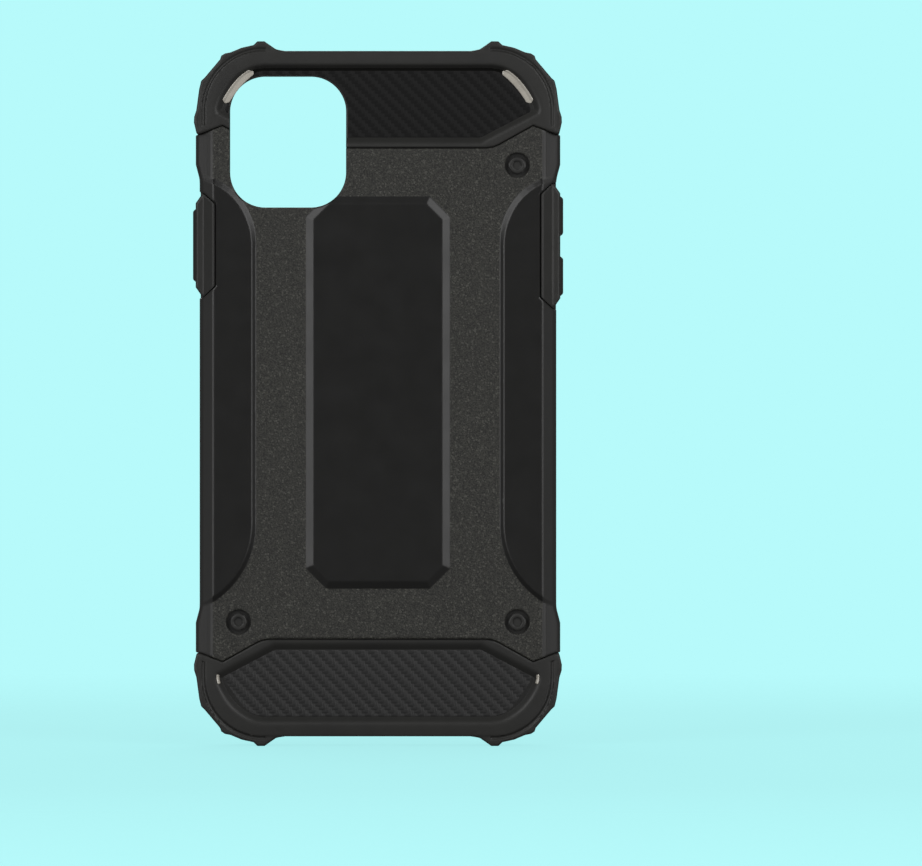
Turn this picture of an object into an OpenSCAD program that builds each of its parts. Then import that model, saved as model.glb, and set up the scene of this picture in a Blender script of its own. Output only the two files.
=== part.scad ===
// Rugged two-layer phone case: a soft inner sleeve, a hard outer shell that
// snaps over it, and three sprung side buttons.
// X runs across the back, Z runs up from the bumper feet, and -Y is the back.

/* [Phone] */
// Width of the phone
phone_w = 75.7; // [63:0.1:91]
// Height of the phone
phone_h = 150.9; // [125:0.1:182]
// Thickness of the phone
phone_t = 8.3; // [6.9:0.1:10]
// Radius of the phone's corners, seen from behind
phone_r = 10.8; // [9:0.1:13]
// Slack between the phone and the sleeve, on each side
phone_slack = 0.05; // [0:0.05:0.2]

/* [Inner sleeve] */
// Wall of the sleeve where the shell covers it
sleeve_wall = 1.4; // [1.1:0.05:1.8]
// Floor of the sleeve under the phone's back
sleeve_floor = 1.1; // [0.8:0.05:1.6]
// Wall of the sleeve at the top and bottom ends
end_wall = 2.45; // [2:0.05:3]
// How far the front lip stands in front of the screen
lip_rise = 1.4; // [1:0.1:2]
// How far the front lip reaches over the screen
lip_cover = 2.2; // [1.5:0.1:2.8]
// Depth of the lip behind its front face, where it stands out past the shell
lip_depth = 2.4; // [1.8:0.1:3]
// Radius of the lip's outer front edge
lip_edge = 0.8; // [0.4:0.1:1.2]
// How far the end bands stand behind the shell's back
band_rise = 0.3; // [0:0.05:0.5]

/* [Outer shell] */
// Thickness of the hard shell
shell_t = 1.2; // [0.9:0.05:1.5]
// Gap between the shell and the sleeve
fit_gap = 0.1; // [0.05:0.05:0.3]
// Radius of the case's corners, seen from behind
corner_r = 13.4; // [12:0.1:16]
// Width of the bevel along the back's long edges
side_edge = 3.1; // [2.5:0.1:3.5]
// Width of the bevel along the back's short edges
end_edge = 2.5; // [2:0.1:3]
// Depth of the bevel round the back
edge_depth = 2.6; // [2.2:0.1:3]
// How far the shell's end shoulders stand out at the sides
shoulder = 0.9; // [0.4:0.1:1.2]

/* [Seam between shell and end bands] */
// Height of the seam over the case's end, in the middle
seam_mid = 22; // [19:0.1:25]
// Height of the seam over the case's end, at its lowest
seam_low = 16.9; // [14.5:0.1:19]
// Height of the seam over the case's end, at the sides
seam_side = 18.8; // [16:0.1:21]
// Half width of the seam's level middle
seam_flat = 26; // [22:0.1:30]
// Distance from the case's side to the seam's lowest point
seam_low_in = 5.3; // [4:0.1:7]

/* [Raised back panels] */
// How far the panels stand out of the shell
panel_rise = 0.6; // [0.3:0.05:0.9]
// Width of the bevel round a panel
panel_bevel = 1.7; // [1:0.1:2.4]
// Width of the centre panel
panel_w = 32.8; // [27:0.1:40]
// Distance from the case's top to the centre panel
panel_head = 33.1; // [28:0.1:40]
// Distance from the case's bottom to the centre panel
panel_foot = 33.6; // [28:0.1:40]
// Corner cut of the centre panel
panel_corner = 4.6; // [3:0.1:6]
// Width of a side wing, from the case's side
wing_w = 12.9; // [10.5:0.1:15]
// Radius of a wing's upper end
wing_head_r = 15.5; // [12:0.1:19]
// Radius of a wing's lower end
wing_foot_r = 20.9; // [17:0.1:25]
// Distance from the case's top to the end of a wing's straight edge
wing_head = 43.3; // [36:0.1:52]
// Distance from the case's bottom to the end of a wing's straight edge
wing_foot = 48.2; // [40:0.1:58]

/* [Carbon recesses] */
// Depth of the sunken panel in each end band
recess_depth = 0.9; // [0.5:0.05:1.1]
// Distance from the case's end to the recess
recess_end = 3.8; // [3:0.1:5]
// Distance from the seam to the recess
recess_seam = 1.7; // [1:0.1:3]
// Half width of the recess
recess_half = 36.2; // [30:0.1:37]
// Height of the recess's widest point over the case's end
recess_tip = 12.8; // [10:0.1:15]
// Radius of the recess's rounded corners
recess_r = 10.5; // [8:0.1:13]

/* [Camera opening] */
// Width of the camera opening
cam_w = 26.4; // [22:0.1:32]
// Height of the camera opening
cam_h = 29.8; // [24.8:0.1:35.8]
// Corner radius of the camera opening
cam_r = 8; // [5:0.1:10]
// Distance from the phone's side to the camera opening
cam_side = 4.2; // [3:0.1:6]
// Distance from the phone's top to the camera opening
cam_top = 3.3; // [2.5:0.1:6]

/* [Studs] */
// Radius of the studs on the sleeve
stud_r = 1.95; // [1.6:0.05:2.4]
// Width of the open ring round each stud
stud_ring = 0.85; // [0.4:0.05:1.2]
// Radius of the dimple in each stud
stud_dimple_r = 1; // [0.6:0.05:1.2]
// Distance from the case's side to a stud
stud_side = 8.9; // [8:0.1:11]
// Distance from the case's end to a stud
stud_end = 26; // [23.5:0.1:30]

/* [Side buttons] */
// How far the button pads stand out of the case's sides
pad_rise = 0.9; // [0.5:0.1:1.2]
// How far a button stands out of its pad
button_rise = 0.7; // [0.4:0.05:1]
// Width of a button across the case's thickness
button_w = 5.2; // [4:0.1:6.5]
// Travel of a button
button_travel = 0.4; // [0.2:0.05:0.6]
// Gap round a button
button_gap = 0.25; // [0.15:0.05:0.3]
// Length of the power button
power_l = 16.9; // [14:0.1:20.4]
// Length of the power button's pad
power_pad_l = 23.9; // [21:0.1:28.7]
// Distance from the case's top to the middle of the power button
power_z = 44.15; // [40:0.1:50]
// Length of each volume button
volume_l = 9.3; // [7.7:0.1:10.5]
// Distance between the middles of the volume buttons
volume_pitch = 13.7; // [12:0.1:16]
// Length of the volume buttons' pad
volume_pad_l = 28.7; // [26:0.1:34]
// Distance from the case's top to the middle of the volume pad
volume_z = 44.3; // [40:0.1:50]

/* [Ports and switch] */
// Length of the mute switch's slot
mute_l = 6.4; // [5:0.1:7.4]
// Width of the mute switch's slot
mute_w = 4.8; // [4.2:0.1:5.6]
// Distance from the case's top to the middle of the mute slot
mute_z = 25.5; // [23:0.1:27]
// Width of the charging port's opening
port_w = 12.6; // [10:0.1:15]
// Height of the charging port's opening
port_t = 5.6; // [4.6:0.1:6.4]
// Length of each speaker slot
speaker_l = 10.5; // [8:0.1:12]
// Height of each speaker slot
speaker_t = 3; // [2:0.1:4]
// Distance from the middle to each speaker slot's centre
speaker_x = 15.5; // [14:0.1:18]

/* [Corner bumpers] */
// How far the bumper feet stand out of the case's ends
foot_rise = 2.2; // [1.4:0.1:2.8]
// How far the bumpers stand out of the case's sides
side_rise = 1.2; // [0.6:0.1:1.5]
// Depth of a bumper across the case's thickness
bumper_t = 10.4; // [8:0.1:11.4]

/* [Hidden] */
$fn = 48;

soft_black = [0.17, 0.17, 0.17];
hard_charcoal = [0.22, 0.22, 0.20];

cavity_w = phone_w + 2 * phone_slack;
cavity_h = phone_h + 2 * phone_slack;
cavity_t = phone_t + 2 * phone_slack;
case_w = cavity_w + 2 * (sleeve_wall + fit_gap + shell_t);
case_h = cavity_h + 2 * end_wall;
half_w = case_w / 2;
half_h = case_h / 2;
mid_z = half_h + foot_rise;

// Depths, from the raised back panels to the front lip. Y = 0 is halfway.
case_t = panel_rise + shell_t + fit_gap + sleeve_floor + cavity_t + lip_rise;
back_y = -case_t / 2;
front_y = case_t / 2;
shell_y = back_y + panel_rise;
shell_in_y = shell_y + shell_t;
floor_y = shell_in_y + fit_gap;
cavity_y = floor_y + sleeve_floor;
screen_y = cavity_y + cavity_t;
band_y = shell_y - band_rise;
lip_y = front_y - lip_depth;
keys_y = (cavity_y + screen_y) / 2;
past = 3; // how far a cut runs past the face that it opens

shell_in = shell_t;
sleeve_in = shell_t + fit_gap;
cavity_r = phone_r + phone_slack;

// Bevel round the back, as shares of its depth and of its width: flat, then blunt
edge_steps = [[0, 1], [0.55, 0.3], [0.8, 0.08], [1, 0]];

// Bumper outline, from the case's corner: distances in from the side and from the end
bumper_foot_x = 13.3;
bumper_foot_w = 1.4;
bumper_ramp = 3;
bumper_end = seam_side;

// Button pad outline: the tips lie within the wall, and the inner corners in the back
pad_tip_in = 0.75;
pad_inner_in = 3.6;
pad_inner_cut = 2.65;
pad_slope = 1.45;

// Extrudes an outline drawn in X and Z between two depths, about the case's centre
module slab(from_y, to_y) {
    translate([0, to_y, mid_z]) rotate([90, 0, 0]) linear_extrude(to_y - from_y) children();
}

// Rectangle with round corners, centred
module rounded_rect(w, h, r) {
    square([w - 2 * r, h], center = true);
    square([w, h - 2 * r], center = true);
    for (sx = [-1, 1], sz = [-1, 1]) translate([sx * (w / 2 - r), sz * (h / 2 - r)]) circle(r);
}

// Case outline, pulled in from the sides and from the ends
module outline(in_side, in_end) {
    rounded_rect(case_w - 2 * in_side, case_h - 2 * in_end, corner_r - (in_side + in_end) / 2);
}

// The block that the case is cut from: a flat back with blunt bevels and a bevelled front
module envelope(shrink, from_y) {
    hull() {
        for (step = edge_steps)
            slab(from_y + step[0] * (edge_depth - shrink / 2), front_y - lip_edge)
                outline(shrink + step[1] * (side_edge - shrink / 2), shrink + step[1] * (end_edge - shrink / 2));
        slab(front_y - lip_edge, front_y) outline(shrink + lip_edge, shrink + lip_edge);
    }
}

// Seam line from side to side, as heights over the end of the case
function seam_points(gap) = [
    [-half_w - past, seam_side - gap], [-half_w, seam_side - gap],
    [-half_w + seam_low_in, seam_low - gap], [-seam_flat, seam_mid - gap],
    [seam_flat, seam_mid - gap], [half_w - seam_low_in, seam_low - gap],
    [half_w, seam_side - gap], [half_w + past, seam_side - gap]
];

// Everything between the bottom end of the case and the seam
module end_band(gap) {
    translate([0, -half_h]) polygon(concat(seam_points(gap), [
        [half_w + past, -foot_rise - past], [-half_w - past, -foot_rise - past]
    ]));
}

// Both end bands
module end_bands(gap) {
    end_band(gap);
    mirror([0, 1]) end_band(gap);
}

// Sunken carbon panel of the bottom band
module recess_outline() {
    run = recess_half - seam_flat + recess_seam;
    intersection() {
        translate([0, -half_h]) polygon([
            [-recess_half, recess_end], [recess_half, recess_end], [recess_half, recess_tip],
            [recess_half - run, seam_mid - recess_seam], [run - recess_half, seam_mid - recess_seam],
            [-recess_half, recess_tip]
        ]);
        rounded_rect(2 * recess_half, case_h - 2 * recess_end, recess_r);
    }
}

// One bumper, at the upper right corner, with its foot on the end of the case
module bumper_outline() {
    foot_x = half_w - bumper_foot_x;
    side_x = half_w + side_rise;
    polygon([
        [foot_x - bumper_foot_w - bumper_ramp, half_h], [foot_x - bumper_foot_w, half_h + foot_rise],
        [foot_x, half_h + foot_rise], [foot_x + 1.9, half_h + 0.65 * foot_rise],
        [half_w - 5.6, half_h - 0.45], [half_w - 5, half_h - 1.5], [half_w - 1.1, half_h - 5.9],
        [half_w - 0.2, half_h - 7.3], [half_w + 0.4 * side_rise, half_h - 12.6], [side_x, half_h - 14.7],
        [side_x, half_h - 16.1], [half_w + 0.5 * side_rise, half_h - bumper_end],
        [half_w - 2.5, half_h - bumper_end], [half_w - 11, half_h - 5.5], [foot_x - 4, half_h - 2]
    ]);
}

// All four bumpers, ending at the seams
module bumpers() {
    intersection() {
        for (sx = [0, 1], sz = [0, 1]) mirror([sx, 0]) mirror([0, sz]) bumper_outline();
        end_bands(0);
    }
}

// Pad round the buttons of the right side, or the notch for it where gap is not 0
module pad_outline(middle, length, gap) {
    tip = length / 2 + gap;
    face_x = half_w + pad_rise;
    translate([0, half_h - middle]) polygon([
        [half_w - pad_inner_in - gap, tip - pad_inner_cut], [half_w - pad_tip_in, tip],
        [half_w - pad_tip_in + (gap > 0 ? past : 0), tip],
        [face_x + (gap > 0 ? past : 0), tip - (gap > 0 ? 0 : (pad_rise + pad_tip_in) * pad_slope)],
        [face_x + (gap > 0 ? past : 0), (gap > 0 ? 0 : (pad_rise + pad_tip_in) * pad_slope) - tip],
        [half_w - pad_tip_in + (gap > 0 ? past : 0), -tip],
        [half_w - pad_tip_in, -tip], [half_w - pad_inner_in - gap, pad_inner_cut - tip]
    ]);
}

// Both pads, or both notches
module pads(gap) {
    pad_outline(volume_z, volume_pad_l, gap);
    mirror([1, 0]) pad_outline(power_z, power_pad_l, gap);
}

// Runs a cut through the case's right side, centred at a distance from the case's top
module side_cut(middle, length, width, grow) {
    translate([half_w - 6, keys_y, mid_z + half_h - middle]) rotate([90, 0, 90])
        linear_extrude(6 + pad_rise + past)
            square([width + 2 * grow, length + 2 * grow], center = true);
}

// One slot with round ends through the bottom wall
module bottom_slot(middle, length, width) {
    translate([middle, keys_y, mid_z - half_h - past]) linear_extrude(end_wall + 2 * past)
        rounded_rect(length, width, width / 2 - 0.05);
}

module camera_outline() {
    translate([cam_side + cam_w / 2 - phone_w / 2, phone_h / 2 - cam_top - cam_h / 2])
        rounded_rect(cam_w, cam_h, cam_r);
}

// Places something at each stud: both lower corners and the upper right one
module at_studs() {
    for (place = [[-1, -1], [1, -1], [1, 1]])
        translate([place[0] * (half_w - stud_side), 0, mid_z + place[1] * (half_h - stud_end)])
            rotate([90, 0, 0]) children();
}

// Holes for the buttons through the sleeve
module button_holes() {
    for (s = [-0.5, 0.5]) side_cut(volume_z + s * volume_pitch, volume_l, button_w, button_gap);
    mirror([1, 0, 0]) side_cut(power_z, power_l, button_w, button_gap);
}

module inner_sleeve() {
    color(soft_black) difference() {
        union() {
            envelope(sleeve_in, floor_y);
            intersection() {
                envelope(0, band_y);
                union() {
                    slab(band_y - past, front_y + past) end_bands(0);
                    slab(lip_y, front_y + past) square([case_w + 2 * past, case_h], center = true);
                }
            }
            slab(shell_y + edge_depth / 2, front_y - lip_edge) pads(0);
            intersection() {
                envelope(0, shell_y);
                slab(shell_y - past, front_y) pads(0);
            }
            slab(-bumper_t / 2, bumper_t / 2) bumpers();
            at_studs() translate([0, 0, -floor_y - sleeve_floor / 2])
                cylinder(r = stud_r, h = shell_t + sleeve_floor / 2);
        }
        slab(cavity_y, screen_y) rounded_rect(cavity_w, cavity_h, cavity_r);
        slab(screen_y - 0.5, front_y + past)
            rounded_rect(cavity_w - 2 * lip_cover, cavity_h - 2 * lip_cover, cavity_r - lip_cover);
        slab(band_y - past, band_y + recess_depth) {
            recess_outline();
            mirror([0, 1]) recess_outline();
        }
        slab(back_y - past, cavity_y + past) camera_outline();
        at_studs() translate([0, 0, -floor_y + shell_t / 2]) cylinder(r = stud_dimple_r, h = past);
        button_holes();
        side_cut(mute_z, mute_l, mute_w, 0);
        bottom_slot(0, port_w, port_t);
        for (s = [-1, 1]) bottom_slot(s * speaker_x, speaker_l, speaker_t);
    }
}

// Centre panel, narrowing to its top face
module centre_panel() {
    top = half_h - panel_head;
    bottom = panel_foot - half_h;
    hull() for (step = [[shell_y, 0], [back_y, panel_bevel]]) {
        side = panel_w / 2 - step[1];
        cut = panel_corner - 0.4 * step[1];
        slab(step[0], shell_in_y) polygon([
            [cut - side, bottom + step[1]], [side - cut, bottom + step[1]], [side, bottom + step[1] + cut],
            [side, top - step[1] - cut], [side - cut, top - step[1]], [cut - side, top - step[1]],
            [-side, top - step[1] - cut], [-side, bottom + step[1] + cut]
        ]);
    }
}

// Points of a wing's curved end: a circle that meets the straight edge
function wing_end(edge_x, start_z, r, reach, turn) = [
    for (i = [0:8]) let (a = acos((r - i / 8 * (reach - edge_x)) / r))
        [edge_x + r * (1 - cos(a)), start_z + turn * r * sin(a)]
];

// Right side wing, narrowing to its top face
module side_wing() {
    hull() for (step = [[shell_y, 0], [back_y, panel_bevel]]) {
        edge_x = half_w - wing_w + step[1];
        reach = half_w - (step[1] > 0 ? side_edge + 0.1 : side_edge / 2);
        depth = step[1] > 0 ? step[0] : step[0] + edge_depth / 3;
        slab(depth, shell_in_y) polygon(concat(
            wing_end(edge_x, half_h - wing_head, wing_head_r - step[1], reach, 1),
            [for (i = [8:-1:0]) wing_end(edge_x, wing_foot - half_h, wing_foot_r - step[1], reach, -1)[i]]
        ));
    }
}

// Shoulder that leads the shell's side out to a bumper, at the upper right
module shoulder_outline() {
    start = half_h - seam_side - fit_gap;
    polygon([
        [half_w - shell_t, start - 11], [half_w, start - 10.4], [half_w + shoulder, start - 7],
        [half_w + shoulder, start], [half_w - shell_t, start]
    ]);
}

module outer_shell() {
    color(hard_charcoal) difference() {
        union() {
            difference() {
                intersection() {
                    envelope(0, shell_y);
                    slab(shell_y - past, lip_y - fit_gap) square([case_w + past, case_h], center = true);
                }
                slab(shell_y - 2 * past, front_y) end_bands(-fit_gap);
            }
            slab(-bumper_t / 2, lip_y - fit_gap)
                for (sx = [0, 1], sz = [0, 1]) mirror([sx, 0]) mirror([0, sz]) shoulder_outline();
            centre_panel();
            side_wing();
            mirror([1, 0, 0]) side_wing();
        }
        envelope(shell_in, shell_in_y);
        slab(back_y - past, front_y) pads(fit_gap);
        slab(back_y - past, front_y) camera_outline();
        at_studs() cylinder(r = stud_r + stud_ring, h = case_t);
        side_cut(mute_z, mute_l, mute_w, 0);
    }
}

// A right side button, from the phone's own key to its bevelled outer face
module button(middle, length) {
    inner_x = cavity_w / 2 + button_gap;
    face_x = half_w + pad_rise;
    color(soft_black) translate([0, keys_y, mid_z + half_h - middle]) rotate([90, 0, 90]) {
        translate([0, 0, inner_x]) linear_extrude(face_x - inner_x)
            square([button_w, length], center = true);
        hull() {
            translate([0, 0, face_x - 0.1]) linear_extrude(0.1) square([button_w, length], center = true);
            translate([0, 0, face_x]) linear_extrude(button_rise)
                square([button_w - button_rise, length - button_rise], center = true);
        }
    }
}

module power_button() {
    mirror([1, 0, 0]) button(power_z, power_l);
}

module volume_up_button() {
    button(volume_z - volume_pitch / 2, volume_l);
}

module volume_down_button() {
    button(volume_z + volume_pitch / 2, volume_l);
}

inner_sleeve();
outer_shell();
power_button();
volume_up_button();
volume_down_button();
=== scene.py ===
"""Rugged two-layer phone case: a soft inner sleeve, a hard outer shell and three side buttons.

The shapes are distance fields in millimetres, centred on the case. carve() turns a field into a
mesh whose creases stay crisp. -Y is the back of the case and +Z its top end.
"""
import math
import bpy
import numpy as np
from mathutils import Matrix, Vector


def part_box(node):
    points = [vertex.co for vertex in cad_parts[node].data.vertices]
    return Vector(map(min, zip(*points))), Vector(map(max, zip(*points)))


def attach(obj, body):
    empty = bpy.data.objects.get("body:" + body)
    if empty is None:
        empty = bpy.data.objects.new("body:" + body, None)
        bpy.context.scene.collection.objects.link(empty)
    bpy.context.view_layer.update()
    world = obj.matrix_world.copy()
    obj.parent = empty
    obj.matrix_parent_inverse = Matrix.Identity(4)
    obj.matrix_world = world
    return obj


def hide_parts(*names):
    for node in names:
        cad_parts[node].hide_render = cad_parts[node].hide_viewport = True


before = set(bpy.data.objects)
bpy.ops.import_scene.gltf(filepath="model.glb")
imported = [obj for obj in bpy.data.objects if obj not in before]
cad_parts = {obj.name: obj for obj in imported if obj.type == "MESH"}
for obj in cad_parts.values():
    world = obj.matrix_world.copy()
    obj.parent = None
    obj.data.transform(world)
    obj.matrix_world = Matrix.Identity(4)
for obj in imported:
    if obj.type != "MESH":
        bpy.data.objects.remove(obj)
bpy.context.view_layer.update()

MM = 0.001
STEP = 0.3  # mesh pitch in mm
FACES = 195_000  # triangles of the sleeve, and of the shell, once their flat places are thinned

# Sizes that the frame gives
SLEEVE = [[c / MM for c in corner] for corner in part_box("inner_sleeve")]
SHELL = [[c / MM for c in corner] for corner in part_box("outer_shell")]
KEY = [[c / MM for c in corner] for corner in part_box("volume_up_button")]
BACK_Y = SHELL[0][1]
FRONT_Y = SLEEVE[1][1]
BAND_Y = SLEEVE[0][1]
MID_Z = (SLEEVE[0][2] + SLEEVE[1][2]) / 2
SHELL_FRONT_Y = SHELL[1][1]
KEY_X = KEY[1][0]

# Outline and layers
SHOULDER, SHOULDER_SLOPE, SHOULDER_R, SHOULDER_OVERLAP = 0.9, 0.5, 0.8, 1.5
FLARE = [(18.9, SHOULDER), (25.8, SHOULDER), (40.9, -3.1)]  # distance from the end, shoulder there
FLARE_END = 40
FOOT_RISE = 2.2
HALF_W = SHELL[1][0] - SHOULDER
HALF_H = SLEEVE[1][2] - MID_Z - FOOT_RISE
OUTSIDE_X = HALF_W + 4  # clear of the sides
CORNER_R = 13.4
SHELL_T = 1.2
GAP, SEAM_GAP = 0.1, 0.13
SLEEVE_WALL, END_WALL, FLOOR_T, LIP_T = 1.4, 2.45, 1.1, 1.4
LIP_COVER = 2.2
PHONE_R = 10.85
PANEL_RISE = 0.6
PANEL_BEVEL, WING_BEVEL, WING_TOP_BEVEL = 1.7, 1.0, 1.3
WING_TOP = [44, 38]  # distances from the end between which the wings' bevel broadens
SHELL_Y = BACK_Y + PANEL_RISE
SHELL_IN_Y = SHELL_Y + SHELL_T
FLOOR_Y = SHELL_IN_Y + GAP
CAVITY_Y = FLOOR_Y + FLOOR_T
SCREEN_Y = FRONT_Y - LIP_T
LIP_Y = SHELL_FRONT_Y + GAP
KEYS_Y = (CAVITY_Y + SCREEN_Y) / 2
CAVITY_HALF_W = HALF_W - SHELL_T - GAP - SLEEVE_WALL
CAVITY_HALF_H = HALF_H - END_WALL
SIDE_EDGE, END_EDGE, EDGE_SLOPE, BAND_SLOPE = 3.1, 2.0, 0.66, 0.1

# Radii of the edges, the small ones first
CRISP_R, FINE_R, THIN_R, CUT_R, SOFT_R = 0.1, 0.15, 0.2, 0.25, 0.3
STUD_EDGE_R, BAND_EDGE_R, BUMPER_R, PORT_EDGE_R = 0.35, 0.4, 0.4, 0.4
PAD_EDGE_R, WINDOW_R, CAVITY_EDGE_R, LIP_EDGE, EDGE_R = 0.5, 0.5, 0.6, 0.8, 0.9

# Bumpers, seam and creases
BUMPER_BACK_Y, BUMPER_FRONT_Y = BAND_Y + 0.25, 5.1
SEAM = [(0, 22), (24.6, 22), (26.2, 21.8), (27.6, 21.2), (35.3, 16.9), (40.6, 18.8), (43, 19.2)]
CREASE_IN, CREASE_OUT, CREASE_R, CREASE_DEPTH = 0.9, 0.35, 0.4, 0.12
CREASE_START_X, CREASE_CLEAR = 25.6, 1.2

# Buttons, openings and studs
PAD_RISE, PAD_TIP_IN, PAD_INNER_IN, PAD_INNER_CUT, PAD_SLOPE = 0.9, 0.75, 3.6, 2.65, 1.45
PAD_DEPTH = 1.5
POWER_Z, POWER_L, POWER_PAD = HALF_H - 44.15, 16.9, 23.9
VOLUME_Z, VOLUME_L, VOLUME_PITCH, VOLUME_PAD = HALF_H - 44.3, 9.3, 13.7, 28.7
PADS = [(1, VOLUME_Z, VOLUME_PAD), (-1, POWER_Z, POWER_PAD)]  # side, middle and length
KEY_W, KEY_GAP, KEY_TRAVEL, KEY_CLEAR = 5.2, 0.25, 0.4, 0.1
KEY_R, KEY_HOLE_R, KEY_TAPER, KEY_SLANT = 0.8, 0.9, 0.8, 0.8
KEY_LEDGE_IN, STEM_IN = 1.0, 0.6
KEY_MARGIN = 1
MUTE_Z, MUTE_L, MUTE_W, MUTE_R = HALF_H - 25.5, 6.4, 4.8, 1.2
PORT = (6.3, 2.8, 2.75)  # half width, half height, corner radius
SPEAKER_X, SPEAKER = 15.5, (5.25, 1.5, 1.45)
CUT_IN = 6  # how far in from the side the slots and button holes reach
PORT_CUT_IN = 1.5
CAMERA = (-20.45, 57.25, 13.2, 14.9, 8)  # middle X and Z, half width, half height, corner radius
CAMERA_REACH = 2  # how far the opening goes on in front of the cavity's floor
STUDS = [(-31.7, -51.95), (31.7, -51.95), (31.7, 51.95)]
STUD_R, STUD_HOLE_R, STUD_SUNK, STUD_ROOT = 1.95, 2.8, 0.1, 0.5
DIMPLE_R, DIMPLE_DEPTH = 1.0, 0.6

# Recesses and their inlays
RECESS_DEPTH, RECESS_BEVEL, STEEP_BEVEL, RECESS_CREST = 1.2, 1.45, 0.8, 0.4
RECESS_REACH = 23
STEEP_FROM, STEEP_TO = 8, 5  # distances from the end between which the bevel turns steep
TOW = 0.75  # pitch of the carbon weave
TOW_POINTS = 6  # mesh points across a tow
TOW_ROUND, TOW_LOW, TOW_SWELL = 0.75, 0.55, 0.45
TWILL_TURN, TWILL_OVER = 4.0, 1.5  # the twill repeats after four tows, and two of them lie on top
WEAVE_HALF_X, WEAVE_START, WEAVE_STOP = 36, 21, 3.5
WEAVE_LIFT, BORDER_HEIGHT, END_BORDER = 0.04, 0.3, 6
ON_FLOOR, CAMERA_CLEAR = 0.85, 0.3
# The chamfer strips that the next lines shape are glossy light grey sheets: a painted highlight at the
# recess corners.
INLAY_T, HIGHLIGHT_T = 0.25, 0.2
HIGHLIGHT_ALONG, HIGHLIGHT_ACROSS = 60, 9  # mesh points of a chamfer
HIGHLIGHT_TAPER, HIGHLIGHT_TIP = 0.06, 0.05
HIGHLIGHT_LIFT, HIGHLIGHT_CROWN = 0.03, 0.06
UPPER_HIGHLIGHT_STRIP = [
    [(28.0, 5.1), (30.3, 7.1), (32.3, 9.4), (34.0, 12.0)],
    [(29.0, 4.1), (31.6, 5.9), (33.8, 8.5), (35.6, 11.5)],
]
LOWER_HIGHLIGHT_STRIP = [
    [(35.9, 12.1), (36.1, 12.7), (36.2, 13.3), (36.2, 13.9)],
    [(36.4, 12.0), (36.6, 12.6), (36.7, 13.3), (36.6, 14.0)],
]

# The shell's finishes meet where its back sinks by SATIN_DEPTH, and where a panel has risen by PANEL_FOOT
SATIN_DEPTH, PANEL_FOOT = 0.35, 0.02

# Fields
FAR = 9.0  # a distance that stands for nowhere near
SEAM_SLANT, RECESS_SLANT = 0.87, 0.85  # bring these sloping fields closer to true distances


# ---------------------------------------------------------------- distance fields

def rounded_rect(x, z, half_w, half_h, r):
    """Distance to a rectangle with round corners, centred."""
    qx = np.abs(x) - half_w + r
    qz = np.abs(z) - half_h + r
    return np.hypot(np.maximum(qx, 0), np.maximum(qz, 0)) + np.minimum(np.maximum(qx, qz), 0) - r


def polygon(x, z, points):
    """Distance to a closed outline."""
    nearest = np.full(np.shape(x), np.inf)
    inside = np.zeros(np.shape(x), bool)
    for (ax, az), (bx, bz) in zip(points, points[1:] + points[:1]):
        ex, ez = bx - ax, bz - az
        px, pz = x - ax, z - az
        t = np.clip((px * ex + pz * ez) / (ex * ex + ez * ez), 0, 1)
        nearest = np.minimum(nearest, (px - t * ex) ** 2 + (pz - t * ez) ** 2)
        if ez:
            crosses = (az > z) != (bz > z)
            inside ^= crosses & (x < ax + ex * (z - az) / ez)
    return np.where(inside, -1, 1) * np.sqrt(nearest)


def both(a, b, r):
    """Where a and b overlap, with its edge rounded to r."""
    ar, br = np.maximum(a + r, 0), np.maximum(b + r, 0)
    return np.hypot(ar, br) + np.minimum(np.maximum(a, b) + r, 0) - r


def either(a, b, r):
    """a and b joined, with a fillet of r between them."""
    ar, br = np.maximum(r - a, 0), np.maximum(r - b, 0)
    return np.maximum(np.minimum(a, b), r) - np.hypot(ar, br)


def without(a, b, r):
    """a with b cut out of it, its new edge rounded to r."""
    return both(a, -b, r)


def between(y, low, high):
    return np.maximum(low - y, y - high)


def soft_minimum(a, b, soft):
    t = np.clip(0.5 + (b - a) / (2 * soft), 0, 1)
    return b + (a - b) * t - soft * t * (1 - t)


# ---------------------------------------------------------------- outlines

def closed_x(right):
    """A closed outline from its right half."""
    return right + [(-px, pz) for px, pz in reversed(right)]


def closed_z(upper):
    """A closed outline from its upper half."""
    return upper + [(px, -pz) for px, pz in reversed(upper)]


def seam_field(x, z):
    """Under 0 in the end bands, over 0 where the shell is."""
    from_end = HALF_H - np.abs(z)
    return (from_end - np.interp(np.abs(x), *zip(*SEAM))) * SEAM_SLANT


def bumper_outline():
    """Outline of the top right bumper, from distances in from the side and from the end of the case."""
    inset = [
        (-0.5, 19.5), (-1.25, 16.3), (-1.2, 15.0), (-0.7, 13.4), (-0.05, 8.6), (0.4, 6.8), (1.15, 6.1),
        (4.7, 1.9), (4.95, 1.1), (5.8, 0.55), (7.1, 0.3), (9.6, -0.75), (12.3, -1.35), (13.2, -2.2),
        (14.8, -2.2), (15.8, -1.5), (17.4, -0.4), (19.2, 0.05), (14, 4), (5, 9), (2, 19.5),
    ]
    return [(HALF_W - side, HALF_H - end) for side, end in inset]


def pad_field(x, z):
    """Distance to both button pads in X and Z."""
    fields = []
    for sign, middle, length in PADS:
        tip = length / 2
        face_z = tip - (PAD_RISE + PAD_TIP_IN) * PAD_SLOPE
        points = closed_z([
            (HALF_W - PAD_INNER_IN, tip - PAD_INNER_CUT), (HALF_W - PAD_TIP_IN, tip),
            (HALF_W + PAD_RISE, face_z),
        ])
        fields.append(polygon(sign * x, z - middle, points))
    return np.minimum(*fields)


def notch_field(x, z):
    """Distance to the notches that the shell has for the pads: open to the sides."""
    fields = []
    for sign, middle, length in PADS:
        tip = length / 2 + GAP
        points = closed_z([
            (HALF_W - PAD_INNER_IN - GAP, tip - PAD_INNER_CUT), (HALF_W - PAD_TIP_IN, tip),
            (OUTSIDE_X, tip),
        ])
        fields.append(polygon(sign * x, z - middle, points))
    return np.minimum(*fields)


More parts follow.
